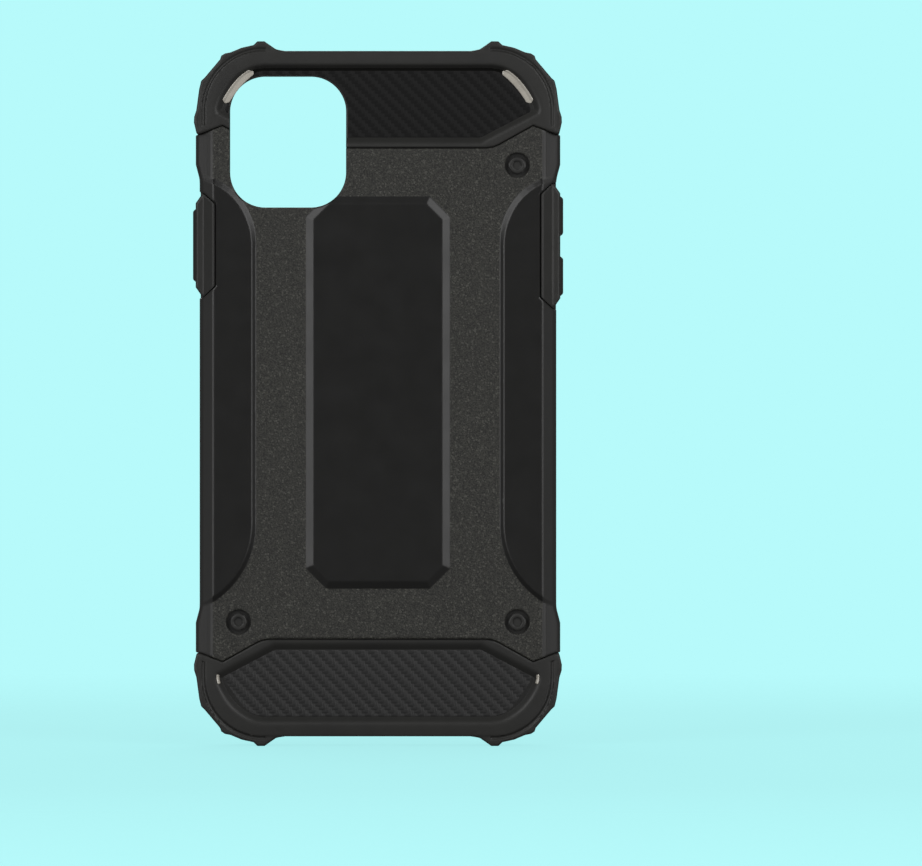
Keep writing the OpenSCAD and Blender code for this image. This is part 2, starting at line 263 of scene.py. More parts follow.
def camera_field(x, z):
    middle_x, middle_z, half_w, half_h, r = CAMERA
    return rounded_rect(x - middle_x, z - middle_z, half_w, half_h, r)


def stud_field(x, z):
    """Distance from the nearest stud's axis."""
    return np.minimum.reduce([np.hypot(x - sx, z - sz) for sx, sz in STUDS])


def corners_cut(points, rounds=2):
    """An open line made smoother: each round cuts its corners, and keeps its ends."""
    line = np.array(points, float)
    for _ in range(rounds):
        ahead, behind = line[1:], line[:-1]
        cut = np.stack([behind * 0.75 + ahead * 0.25, behind * 0.25 + ahead * 0.75], 1).reshape(-1, 2)
        line = np.concatenate([line[:1], cut, line[-1:]])
    return [tuple(point) for point in line]


def recess_outline():
    """Rim of the top recess: a flat end, blunt corners, and sides that follow the seam. The bottom
    recess is its mirror image."""
    corner = [(26, 3.1), (29.2, 3.6), (33, 6.1), (35.6, 9.6), (37, 13), (36.6, 14.3)]
    tip = (23.6, HALF_H - 21.1)
    return closed_x([tip] + [(px, HALF_H - end) for px, end in reversed(corners_cut(corner))])


def carbon_outline():
    """Edge of the woven part of the top recess's floor: the floor is plain round the tips."""
    inset = [(25.4, 19.6), (34.5, 14.3), (34.8, 13.3), (34.3, 11.9), (30.6, 6.6), (28.8, 5.2), (26.4, 4.5)]
    return closed_x([(px, HALF_H - end) for px, end in inset])


def recess_share(x, z):
    """How deep a point of the end bands is in its recess: 0 well outside the rim, 1 on the floor. The
    crest of its bevel is soft, and the bevel is steep along both ends."""
    share = np.zeros(np.shape(x))
    near = np.abs(z) > HALF_H - RECESS_REACH
    rim = polygon(x[near], np.abs(z[near]), recess_outline())
    width = np.interp(z[near], [HALF_H - STEEP_FROM, HALF_H - STEEP_TO], [RECESS_BEVEL, STEEP_BEVEL])
    ramp = -rim / width
    crest = (np.maximum(ramp + RECESS_CREST, 0)) ** 2 / (4 * RECESS_CREST)
    share[near] = np.minimum(np.where(ramp < RECESS_CREST, crest, ramp), 1)
    return share


def centre_panel_outline():
    side, corner = 16.4, 4.6
    top, bottom = HALF_H - 33.1, 33.6 - HALF_H
    return closed_x([(side - corner, bottom), (side, bottom + corner), (side, top - corner),
                     (side - corner, top)])


def wing_outline():
    """Base outline of the right wing: a straight edge that curves out to the side at both ends."""
    edge_x, end_rise = HALF_W - 12.9, 1.2
    points = []
    for start, r, sign in ((HALF_H - 43.3, 15.5, 1), (48.2 - HALF_H, 20.9, -1)):
        turn = math.acos(max(-1, (r - (HALF_W - edge_x)) / r))
        end = [(edge_x + r * (1 - math.cos(a)), start + sign * r * math.sin(a))
               for a in np.linspace(0, turn, 12)]
        end.append((OUTSIDE_X, end[-1][1] + sign * end_rise))
        points.append(end)
    return points[0][::-1] + points[1]


def ledge(depth, width, height, soft=0.07):
    """Height of a bevelled step at a depth inside its outline, with a softly rounded crest."""
    slope = np.maximum(depth, 0) * height / width
    return np.clip(soft_minimum(slope, height, soft), 0, height)


def raised(x, z):
    """How far the panels stand out of the shell's back, from 0 to PANEL_RISE."""
    panel = ledge(-polygon(x, z, centre_panel_outline()), PANEL_BEVEL, PANEL_RISE)
    width = np.interp(z, [HALF_H - end for end in WING_TOP], [WING_BEVEL, WING_TOP_BEVEL])
    wing = ledge(-polygon(np.abs(x), z, wing_outline()), width, PANEL_RISE)
    return np.maximum(panel, wing)


# ---------------------------------------------------------------- bodies

def corner_share(x, z):
    """0 along the ends of the case and 1 along its sides, turning over round the corners."""
    qx = np.maximum(np.abs(x) - HALF_W + CORNER_R, 0)
    qz = np.maximum(np.abs(z) - HALF_H + CORNER_R, 0)
    return np.where(qx + qz > 0, qx ** 2 / np.maximum(qx ** 2 + qz ** 2, 1e-9), 1.0 * (qz == 0))


def envelope(x, y, z, shrink, back, slope=EDGE_SLOPE, edge_r=EDGE_R):
    """The block that both layers are cut from: blunt bevels round the back, a rounded front edge.
    back is the distance outside the back face, and slope and edge_r are the bevel's."""
    edge = END_EDGE + (SIDE_EDGE - END_EDGE) * corner_share(x, z) - shrink / 2
    wall = rounded_rect(x, z, HALF_W - shrink, HALF_H - shrink, CORNER_R - shrink)
    bevel = (slope * (wall + edge) + back) / math.hypot(1, slope)
    side = both(wall, bevel, edge_r)
    side = both(side, back, FINE_R)
    return both(side, y - FRONT_Y, LIP_EDGE)


def shoulder_shape(x, y, from_end):
    """The strips near the bumpers where the shell is broader."""
    side = np.abs(x) - HALF_W
    flare = np.interp(from_end, *zip(*FLARE))
    slant = (SHOULDER_SLOPE * (side + SIDE_EDGE) + SHELL_Y - y) / math.hypot(1, SHOULDER_SLOPE)
    shoulder = both(side - flare, slant, SHOULDER_R)
    return np.maximum(shoulder, HALF_W - SHELL_T - SHOULDER_OVERLAP - np.abs(x))


def shell_shape(x, y, z):
    """The hard outer shell."""
    body = envelope(x, y, z, 0, SHELL_Y - raised(x, z) - y)
    from_end = HALF_H - np.abs(z)
    shoulder = np.where(from_end < FLARE_END, shoulder_shape(x, y, from_end), FAR)
    body = either(body, shoulder, THIN_R)
    inner = envelope(x, y, z, SHELL_T, SHELL_IN_Y - y)
    body = without(body, inner, FINE_R)
    body = both(body, y - SHELL_FRONT_Y, SOFT_R)
    body = both(body, SEAM_GAP - seam_field(x, z), CUT_R)
    cut = np.minimum.reduce([notch_field(x, z), camera_field(x, z), stud_field(x, z) - STUD_HOLE_R])
    body = without(body, cut, CUT_R)
    return without(body, mute_field(x, y, z), SOFT_R)


def mute_field(x, y, z):
    slot = rounded_rect(y - KEYS_Y, z - MUTE_Z, MUTE_W / 2, MUTE_L / 2, MUTE_R)
    return np.maximum(slot, HALF_W - CUT_IN - x)


def key_places():
    """Side, middle and length of the power, volume up and volume down buttons."""
    return [
        (-1, POWER_Z, POWER_L), (1, VOLUME_Z + VOLUME_PITCH / 2, VOLUME_L),
        (1, VOLUME_Z - VOLUME_PITCH / 2, VOLUME_L),
    ]


def key_hole_field(x, y, z):
    """Distance to the holes for the three buttons: each has a ledge that the button's bump covers."""
    holes = []
    for sign, middle, length in key_places():
        hole = rounded_rect(y - KEYS_Y, z - middle, KEY_W / 2 + KEY_GAP, length / 2 + KEY_GAP, KEY_HOLE_R)
        bump = np.maximum(hole, HALF_W - KEY_LEDGE_IN - sign * x)
        stem = np.maximum(hole + STEM_IN, HALF_W - CUT_IN - sign * x)
        holes.append(np.minimum(bump, stem))
    return np.minimum.reduce(holes)


def port_field(x, y, z):
    """Distance to the charging port and the two speaker slots, through the bottom wall."""
    port = rounded_rect(x, y - KEYS_Y, *PORT)
    speakers = rounded_rect(np.abs(x) - SPEAKER_X, y - KEYS_Y, *SPEAKER)
    return np.maximum(np.minimum(port, speakers), z + HALF_H - END_WALL - PORT_CUT_IN)


def sleeve_layers(x, y, z, seam):
    """The end bands, the tray inside the shell, and the rim in front of the shell."""
    band = both(envelope(x, y, z, 0, BAND_Y - y, BAND_SLOPE, BAND_EDGE_R), seam, SOFT_R)
    tray = envelope(x, y, z, SHELL_T + GAP, FLOOR_Y - y)
    rim = both(envelope(x, y, z, 0, BAND_Y - y), LIP_Y - y, SOFT_R)
    return np.minimum(np.minimum(band, tray), rim)


def bumper_shape(x, y, z, seam):
    """The four corner bumpers."""
    outline = polygon(np.abs(x), np.abs(z), bumper_outline())
    bumper = both(outline, between(y, BUMPER_BACK_Y, BUMPER_FRONT_Y), BUMPER_R)
    return both(bumper, seam, SOFT_R)


def crease_field(x, y, z, seam):
    """Distance to the creases beside the bumpers: just outside the wall at the ends of the case, and
    inside it along the sides."""
    wall = rounded_rect(x, z, HALF_W, HALF_H, CORNER_R)
    inwards = (CREASE_IN + CREASE_OUT) * np.sqrt(corner_share(x, z)) - CREASE_OUT
    groove = np.hypot(wall + inwards, y - BAND_Y - CREASE_DEPTH) - CREASE_R
    return np.maximum(groove, np.maximum(CREASE_START_X - np.abs(x), seam + CREASE_CLEAR))


def pad_shape(x, y, z):
    """The button pads: proud of the side walls, and level with the shell on the back."""
    outline = pad_field(x, z)
    pad = both(outline, between(y, SHELL_Y + PAD_DEPTH, FRONT_Y - LIP_EDGE), PAD_EDGE_R)
    return np.minimum(pad, both(envelope(x, y, z, 0, SHELL_Y - y), outline, SOFT_R))


def with_studs(body, x, y, z):
    """The sleeve with its three dimpled studs."""
    from_axis = stud_field(x, z)
    stud = both(from_axis - STUD_R, SHELL_Y + STUD_SUNK - y, STUD_EDGE_R)
    stud = np.maximum(stud, y - FLOOR_Y - STUD_ROOT)
    dimple = np.maximum(from_axis - DIMPLE_R, y - SHELL_Y - DIMPLE_DEPTH)
    return without(np.minimum(body, stud), dimple, THIN_R)


def hollowed(body, x, y, z):
    """The sleeve with the phone's cavity and the screen window cut out."""
    cavity = rounded_rect(x, z, CAVITY_HALF_W, CAVITY_HALF_H, PHONE_R)
    cavity = both(cavity, between(y, CAVITY_Y, SCREEN_Y), CAVITY_EDGE_R)
    window = rounded_rect(x, z, CAVITY_HALF_W - LIP_COVER, CAVITY_HALF_H - LIP_COVER, PHONE_R - LIP_COVER)
    window = np.maximum(window, SCREEN_Y - CAVITY_EDGE_R - y)
    return without(without(body, cavity, CRISP_R), window, WINDOW_R)


def sleeve_shape(x, y, z):
    """The soft inner sleeve."""
    seam = seam_field(x, z)
    body = either(sleeve_layers(x, y, z, seam), bumper_shape(x, y, z, seam), SOFT_R)
    body = without(body, crease_field(x, y, z, seam), CRISP_R)
    body = either(body, pad_shape(x, y, z), CRISP_R)
    body = hollowed(with_studs(body, x, y, z), x, y, z)
    share = recess_share(x, z)
    recess = np.where(share > 0, BAND_Y + RECESS_DEPTH * share - y, -FAR)
    body = np.maximum(body, recess * RECESS_SLANT)
    body = without(body, camera_field(x, z) + np.maximum(y - CAVITY_Y - CAMERA_REACH, 0), CUT_R)
    body = without(body, key_hole_field(x, y, z), THIN_R)
    body = without(body, mute_field(x, y, z), SOFT_R)
    return without(body, port_field(x, y, z), PORT_EDGE_R)


def key_shape(sign, middle, length):
    """One button: a bevelled bump on a narrower stem that goes through the sleeve's wall."""
    def field(x, y, z):
        face = rounded_rect(y - KEYS_Y, z - middle, KEY_W / 2, length / 2, KEY_R)
        out = sign * x
        proud = np.maximum(out - HALF_W - PAD_RISE + KEY_CLEAR, 0)
        taper = (face + proud * KEY_TAPER) * KEY_SLANT
        ledge_x = HALF_W - KEY_LEDGE_IN + KEY_TRAVEL + KEY_CLEAR
        bump = both(both(taper, out - KEY_X, SOFT_R), ledge_x - out, CRISP_R)
        stem = both(face + STEM_IN, between(out, CAVITY_HALF_W + KEY_GAP, HALF_W), THIN_R)
        return np.minimum(bump, stem)
    return field


# ---------------------------------------------------------------- meshing

BLOCK = 4  # grid points along one side of a block
NEAR = 1.25  # blocks nearer the surface than this many block sides are sampled exactly
MARGIN = 1.5  # cells round a shape
GRID_SHIFT = 0.011  # keeps the grid off the flat faces
HOLD = 0.03  # holds a point near its crossings where their planes leave it free
SHARP_ANGLE = 50


def sampled(field, low, shape):
    """The field on a grid: exact near its surface, and only the right sign elsewhere."""
    blocks = [-(-n // BLOCK) for n in shape]
    corners = np.stack(np.meshgrid(*[np.arange(n) for n in blocks], indexing="ij"), -1).reshape(-1, 3)
    middles = low + (corners * BLOCK + (BLOCK - 1) / 2) * STEP
    rough = in_chunks(field, middles)
    near = np.abs(rough) < BLOCK * STEP * NEAR
    values = np.repeat(rough, BLOCK ** 3).reshape(-1, BLOCK, BLOCK, BLOCK)
    inner = np.stack(np.meshgrid(*[np.arange(BLOCK)] * 3, indexing="ij"), -1).reshape(-1, 3)
    places = low + (corners[near][:, None] * BLOCK + inner[None]) * STEP
    values[near] = in_chunks(field, places.reshape(-1, 3)).reshape(-1, BLOCK, BLOCK, BLOCK)
    values = values.reshape(*blocks, BLOCK, BLOCK, BLOCK).transpose(0, 3, 1, 4, 2, 5)
    return values.reshape([n * BLOCK for n in blocks])


def in_chunks(field, places, size=60000):
    """The field at many places, a chunk at a time, which keeps its arrays small."""
    parts = [field(*places[i:i + size].T) for i in range(0, len(places), size)]
    return np.concatenate(parts)


def slopes(field, places, reach=0.02):
    """The field's direction at many places, from four samples round each."""
    total = np.zeros_like(places)
    for corner in ((1, -1, -1), (-1, -1, 1), (-1, 1, -1), (1, 1, 1)):
        corner = np.array(corner, float)
        total += corner * in_chunks(field, places + corner * reach)[:, None]
    return total / np.maximum(np.linalg.norm(total, axis=1, keepdims=True), 1e-9)


def crossings(field, values, low):
    """Where the grid's edges cross the surface: cells round each, places, directions and sides."""
    cells, places, flips = [], [], []
    shape = np.array(values.shape)
    for axis in range(3):
        first = np.take(values, range(shape[axis] - 1), axis)
        second = np.take(values, range(1, shape[axis]), axis)
        at = np.stack(np.nonzero((first < 0) != (second < 0)), -1)
        a, b = first[tuple(at.T)], second[tuple(at.T)]
        place = at.astype(float)
        place[:, axis] += a / (a - b)
        places.append(low + place * STEP)
        flips.append(a >= 0)
        u, v = (axis + 1) % 3, (axis + 2) % 3
        ring = []
        for du, dv in ((1, 1), (0, 1), (0, 0), (1, 0)):
            corner = at.copy()
            corner[:, u] -= du
            corner[:, v] -= dv
            ring.append(np.ravel_multi_index(tuple(corner.T), values.shape))
        cells.append(np.stack(ring, -1))
    places = np.concatenate(places)
    return np.concatenate(cells), places, slopes(field, places), np.concatenate(flips)


def settled(cell_of, count, places, normals, cell_low):
    """One point a cell, where the tangent planes of its crossings meet."""
    weight = np.bincount(cell_of, minlength=count)
    mean = np.stack([np.bincount(cell_of, places[:, k], count) for k in range(3)], -1) / weight[:, None]
    offset = np.einsum("ij,ij->i", normals, places - mean[cell_of])
    matrix = np.empty((count, 3, 3))
    target = np.empty((count, 3))
    for i in range(3):
        target[:, i] = np.bincount(cell_of, normals[:, i] * offset, count)
        for j in range(3):
            matrix[:, i, j] = np.bincount(cell_of, normals[:, i] * normals[:, j], count)
    matrix += np.eye(3) * HOLD
    points = mean + np.linalg.solve(matrix, target[:, :, None])[:, :, 0]
    return np.clip(points, cell_low, cell_low + STEP)


def carve(name, field, low, high):
    """A mesh object of the surface where the field is 0, between two corners in millimetres."""
    low = np.array(low, float) - MARGIN * STEP - GRID_SHIFT
    shape = np.ceil((np.array(high) + MARGIN * STEP - low) / STEP).astype(int) + 1
    values = sampled(field, low, shape)
    cells, places, normals, flips = crossings(field, values, low)
    used, corner_of = np.unique(cells, return_inverse=True)
    corner_of = corner_of.reshape(-1, 4)
    cell_low = low + np.stack(np.unravel_index(used, values.shape), -1) * STEP
    spread = np.repeat(np.arange(len(places)), 4)
    points = settled(corner_of.ravel(), len(used), places[spread], normals[spread], cell_low)
    faces = np.where(flips[:, None], corner_of[:, ::-1], corner_of)
    points[:, 2] += MID_Z
    return mesh_object(name, points * MM, faces)


def mesh_object(name, points, faces):
    """A mesh object from points in metres and quads."""
    mesh = bpy.data.meshes.new(name)
    mesh.vertices.add(len(points))
    mesh.vertices.foreach_set("co", np.asarray(points, np.float32).ravel())
    mesh.loops.add(len(faces) * 4)
    mesh.loops.foreach_set("vertex_index", np.asarray(faces, np.int32).ravel())
    mesh.polygons.add(len(faces))
    mesh.polygons.foreach_set("loop_start", np.arange(len(faces), dtype=np.int32) * 4)
    mesh.update(calc_edges=True)
    mesh.validate()
    mesh.shade_smooth()
    mesh.set_sharp_from_angle(angle=math.radians(SHARP_ANGLE))
    return linked(name, mesh)


def linked(name, data):
    """A new object, linked to the scene."""
    obj = bpy.data.objects.new(name, data)
    bpy.context.scene.collection.objects.link(obj)
    return obj


def grid_quads(shape, corners):
    """Quads between the points of a grid. corners gives the order in which each goes round."""
    rows, columns = shape
    number = np.arange(rows * columns).reshape(shape)
    return np.stack([number[i:rows - 1 + i, j:columns - 1 + j] for i, j in corners], -1)


def thicken(obj, thickness, rim_only):
    """Gives a sheet its thickness towards the inside of the case."""
    thick = obj.modifiers.new("thickness", "SOLIDIFY")
    thick.thickness = thickness * MM
    thick.offset = -1
    thick.use_rim_only = rim_only


def lighten(obj, faces):
    """Takes triangles out of the flat places of a mesh until it has about so many."""
    triangles = len(obj.data.polygons) * 2
    if triangles > faces:
        fewer = obj.modifiers.new("fewer", "DECIMATE")
        fewer.ratio = faces / triangles


def face_middles(obj):
    """Face middles in millimetres, centred on the case."""
    count = len(obj.data.polygons)
    middles = np.empty(count * 3, np.float32)
    obj.data.polygons.foreach_get("center", middles)
    middles = middles.reshape(-1, 3).astype(float) / MM
    middles[:, 2] -= MID_Z
    return middles


# ---------------------------------------------------------------- materials

NOISE_LOW, NOISE_HIGH = 0.3, 0.7  # most values of a noise lie between these


def srgb(*levels):
    """A linear colour from levels of 0 to 255 as a screen shows them."""
    return tuple(((v / 255 + 0.055) / 1.055) ** 2.4 if v > 10 else v / 3295 for v in levels) + (1.0,)


def grey(level):
    return srgb(level, level, level)


def warm(level, less=1):
    """A grey with a little less blue."""
    return srgb(level, level, level - less)


class Finish:
    """A node material under construction."""

    def __init__(self, name, roughness, colour):
        self.material = bpy.data.materials.new(name)
        self.material.use_nodes = True
        self.material.diffuse_color = colour
        self.nodes = self.material.node_tree.nodes
        self.shader = self.nodes["Principled BSDF"]
        self.shader.inputs["Base Color"].default_value = colour
        self.shader.inputs["Roughness"].default_value = roughness
        self.place = self.node("ShaderNodeTexCoord").outputs["Object"]

    def node(self, kind, **settings):
        made = self.nodes.new(kind)
        for key, value in settings.items():
            setattr(made, key, value)
        return made

    def link(self, output, target):
        self.material.node_tree.links.new(output, target)

    def feed(self, node, *values):
        """Sets or links a node's first inputs, and gives its first output."""
        for socket, value in zip(node.inputs, values):
            self.put(socket, value)
        return node.outputs[0]

    def put(self, socket, value):
        """Sets a socket, or links it if the value is another socket."""
        if isinstance(value, bpy.types.NodeSocket):
            self.link(value, socket)
        else:
            socket.default_value = value

    def maths(self, operation, *values):
        return self.feed(self.node("ShaderNodeMath", operation=operation), *values)

    def noise(self, size_mm, detail, rough=0.5):
        """Smooth noise from 0 to 1 whose blotches are about size_mm across."""
        made = self.node("ShaderNodeTexNoise")
        self.link(self.place, made.inputs["Vector"])
        made.inputs["Scale"].default_value = 1 / (size_mm * MM)
        made.inputs["Detail"].default_value = detail
        made.inputs["Roughness"].default_value = rough
        return made.outputs[0]

    def cells(self, size_mm):
        """A random level from 0 to 1 for each small cell, and the distance from the cell's middle."""
        made = self.node("ShaderNodeTexVoronoi")
        self.link(self.place, made.inputs["Vector"])
        made.inputs["Scale"].default_value = 1 / (size_mm * MM)
        split = self.node("ShaderNodeSeparateColor")
        self.link(made.outputs["Color"], split.inputs[0])
        return split.outputs[0], made.outputs["Distance"]

    def ramp(self, value, low, high, to_low=0, to_high=1):
        made = self.node("ShaderNodeMapRange")
        return self.feed(made, value, low, high, to_low, to_high)

    def clouds(self, size_mm, detail, to_low=0, to_high=1):
        """Noise whose usual range is spread from to_low to to_high."""
        return self.ramp(self.noise(size_mm, detail), NOISE_LOW, NOISE_HIGH, to_low, to_high)

    def blend(self, share, first, second):
        """A colour between two, by share."""
        made = self.node("ShaderNodeMix", data_type="RGBA")
        for key, value in (("Factor_Float", share), ("A_Color", first), ("B_Color", second)):
            self.put(next(s for s in made.inputs if s.identifier == key), value)
        return next(s for s in made.outputs if s.identifier == "Result_Color")

    def bump(self, height, depth_mm):
        made = self.node("ShaderNodeBump")
        made.inputs["Strength"].default_value = 1.0
        made.inputs["Distance"].default_value = depth_mm * MM
        self.link(height, made.inputs["Height"])
        return made.outputs["Normal"]

    def finished(self, colour, roughness, normal, gloss):
        """The finished material. gloss is its specular level."""
        for output, key in ((colour, "Base Color"), (roughness, "Roughness"), (normal, "Normal")):
            self.link(output, self.shader.inputs[key])
        self.shader.inputs["Specular IOR Level"].default_value = gloss
        return self.material


def soft_moulding(name, level, gloss=0.35):
    """Satin black rubber of a shade: a fine even skin with faint cloudy patches."""
    f = Finish(name, roughness=0.42, colour=warm(level))
    colour = f.blend(f.clouds(size_mm=9, detail=4), warm(level - 1), warm(level + 2, less=2))
    roughness = f.clouds(size_mm=3, detail=5, to_low=0.38, to_high=0.45)
    normal = f.bump(f.noise(size_mm=0.15, detail=2), depth_mm=0.003)
    return f.finished(colour, roughness, normal, gloss)


def hard_grain():
    """Charcoal plastic with a fine spark grain whose tips glint."""
    pit, tip, glint, patch = warm(25, less=2), warm(57, less=5), warm(88, less=6), warm(36, less=2)
    f = Finish("hard_grain", roughness=0.5, colour=warm(54, less=3))
    level, distance = f.cells(size_mm=0.3)
    grain = f.noise(size_mm=0.3, detail=2, rough=0.6)
    colour = f.blend(f.ramp(grain, 0.38, 0.62), pit, tip)
    colour = f.blend(f.ramp(level, 0.85, 1.0, to_high=0.8), colour, glint)
    colour = f.blend(f.ramp(f.noise(size_mm=16, detail=3), 0.35, 0.65, to_high=0.15), colour, patch)
    roughness = f.ramp(level, 0, 1, to_low=0.62, to_high=0.42)
    height = f.maths("ADD", f.maths("MULTIPLY", distance, 0.6), grain)
    normal = f.bump(height, depth_mm=0.05)
    return f.finished(colour, roughness, normal, gloss=0.4)


def hard_smooth(name, level, sheen):
    """The same plastic without the grain. level is its shade, and sheen about its roughness."""
    f = Finish(name, roughness=sheen, colour=warm(level))
    colour = f.blend(f.clouds(size_mm=20, detail=3), warm(level - 1), warm(level + 1))
    roughness = f.clouds(size_mm=6, detail=5, to_low=sheen - 0.02, to_high=sheen + 0.03)
    normal = f.bump(f.noise(size_mm=0.2, detail=2), depth_mm=0.002)
    return f.finished(colour, roughness, normal, gloss=0.45)


def carbon_weave(name, shade, gloss):
    """Twill weave of black fibre tows, the cross tows catching more light. shade scales its colours,
    and gloss is its specular level."""
    dark, light, deep = grey(31 * shade), grey(53 * shade), grey(24 * shade)
    f = Finish(name, roughness=0.4, colour=grey(40 * shade))
    split = f.node("ShaderNodeSeparateXYZ")
    f.link(f.place, split.inputs[0])
    along, up = split.outputs[0], split.outputs[2]
    column = f.maths("FLOOR", f.maths("DIVIDE", along, TOW * MM))
    row = f.maths("FLOOR", f.maths("DIVIDE", f.maths("SUBTRACT", up, MID_Z * MM), TOW * MM))
    turn = f.maths("FLOORED_MODULO", f.maths("ADD", column, row), TWILL_TURN)
    over = f.maths("LESS_THAN", turn, TWILL_OVER)
    fibres = f.noise(size_mm=0.1, detail=2)
    colour = f.blend(over, dark, light)
    colour = f.blend(f.ramp(fibres, 0.3, 0.8, to_high=0.3), colour, deep)
    roughness = f.ramp(over, 0, 1, to_low=0.52, to_high=0.4)
    normal = f.bump(fibres, depth_mm=0.01)
    return f.finished(colour, roughness, normal, gloss)


def glossy_painted_highlight():
    """Glossy light grey of the strips on the chamfers at the corners of the recesses: a painted highlight,
    with a real gloss coat.
    """
    dark, light = srgb(176, 171, 160), srgb(192, 187, 176)
    f = Finish("glossy_painted_highlight", roughness=0.2, colour=srgb(184, 179, 168))
    colour = f.blend(f.clouds(size_mm=4, detail=4), dark, light)
    roughness = f.clouds(size_mm=1.2, detail=4, to_low=0.16, to_high=0.28)
    normal = f.bump(f.noise(size_mm=0.6, detail=2), depth_mm=0.004)
    f.shader.inputs["Coat Weight"].default_value = 1.0
    f.shader.inputs["Coat Roughness"].default_value = 0.12
    return f.finished(colour, roughness, normal, gloss=0.8)


# ---------------------------------------------------------------- pieces

def centred(box):
    """A box's corners, measured from the middle of the case."""
    return [(corner[0], corner[1], corner[2] - MID_Z) for corner in box]


def make_shell(finishes):
    """The hard shell. finishes are for its grained field, its smooth panels and its satin edges."""
    shell = carve("outer_shell_skin", shell_shape, *centred(SHELL))
    for finish in finishes:
        shell.data.materials.append(finish)
    x, y, z = face_middles(shell).T
    edge = (np.abs(x) > HALF_W - SIDE_EDGE) | (y > SHELL_Y + SATIN_DEPTH)
    number = np.where(edge, 2, np.where(raised(x, z) > PANEL_FOOT, 1, 0))
    shell.data.polygons.foreach_set("material_index", number.astype(np.int32))
    lighten(shell, FACES)
    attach(shell, "shell")
    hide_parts("outer_shell")


def make_sleeve(soft):
    sleeve = carve("inner_sleeve_skin", sleeve_shape, *centred(SLEEVE))
    sleeve.data.materials.append(soft)
    lighten(sleeve, FACES)
    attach(sleeve, "sleeve")
    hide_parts("inner_sleeve")


def make_keys(soft):
    names = ("power", "volume_up", "volume_down")
    for name, (sign, middle, length) in zip(names, key_places()):
        ends = sorted([sign * (CAVITY_HALF_W - KEY_MARGIN), sign * KEY_X])
        key = carve(name + "_button_skin", key_shape(sign, middle, length),
                    (ends[0], KEYS_Y - KEY_W / 2, middle - length / 2),
                    (ends[1], KEYS_Y + KEY_W / 2, middle + length / 2))
        key.data.materials.append(soft)
        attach(key, name + "_key")
        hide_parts(name + "_button")


def smooth_line(points, along):
    """Points of the cubic through four given points. along runs from 0 at the first to 1 at the last."""
    knots = np.linspace(0, 1, 4)
    return np.stack([np.polyval(np.polyfit(knots, axis, 3), along) for axis in zip(*points)], -1)


def weave_height(x, z):
    """Height of the twill, from 0 to 1: each tow is round across and dips at the ends of its float."""
    u, v = x / TOW, z / TOW
    column, row = np.floor(u), np.floor(v)
    turn = np.mod(column + row, TWILL_TURN)
    over = turn < TWILL_OVER
    across = np.where(over, u - column, v - row) * 2 - 1
    along_up = (turn + v - row) / 2
    along_side = (turn - 2 + u - column) / 2
    along = np.clip(np.where(over, along_up, along_side), 0, 1)
    round_top = np.sqrt(np.maximum(1 - TOW_ROUND * across ** 2, 0))
    return round_top * (TOW_LOW + TOW_SWELL * np.sin(np.pi * along))


def weave_mesh(name, side, relief):
    """The sheet of one inlay: modelled twill inside carbon_outline() and plain round it."""
    pitch = TOW / TOW_POINTS
    xs = np.arange(-WEAVE_HALF_X, WEAVE_HALF_X, pitch)
    zs = np.arange(HALF_H - WEAVE_START, HALF_H - WEAVE_STOP, pitch)
    x, z = np.meshgrid(xs, zs * side, indexing="ij")
    woven = polygon(x, np.abs(z), carbon_outline()) < 0
    height = relief * np.where(woven, weave_height(x, z), BORDER_HEIGHT)
    y = BAND_Y + RECESS_DEPTH - WEAVE_LIFT - height
    keep = (recess_share(x, z) > ON_FLOOR) & (camera_field(x, z) > CAMERA_CLEAR)
    quads = grid_quads(x.shape, ((0, 0), (1, 0), (1, 1), (0, 1)))
    faces = quads[keep.ravel()[quads].all(-1)]
    faces = faces if side > 0 else faces[:, ::-1]
    points = np.stack([x, y, z + MID_Z], -1).reshape(-1, 3)
    used, faces = np.unique(faces, return_inverse=True)
    return mesh_object(name, points[used] * MM, faces.reshape(-1, 4))


def make_weave(name, side, relief, finishes):
    """The inlay on the floor of one end band's recess. side is 1 at the top, -1 at the bottom.
    relief is the height of its weave. finishes are for the weave, its plain border, and the border's
    stretch along the end, which in the top inlay is a near-black painted shade."""
    weave = weave_mesh(name, side, relief)
    for finish in finishes:
        weave.data.materials.append(finish)
    x, _, z = face_middles(weave).T
    plain = polygon(x, np.abs(z), carbon_outline()) > 0
    # The stretch along the end takes the third finish: a near-black painted shade in the top inlay, the
    # plain border in the bottom one.
    by_end = np.abs(z) > HALF_H - END_BORDER
    weave.data.polygons.foreach_set("material_index", (plain * (1 + by_end)).astype(np.int32))
    thicken(weave, INLAY_T, rim_only=True)
    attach(weave, "sleeve")


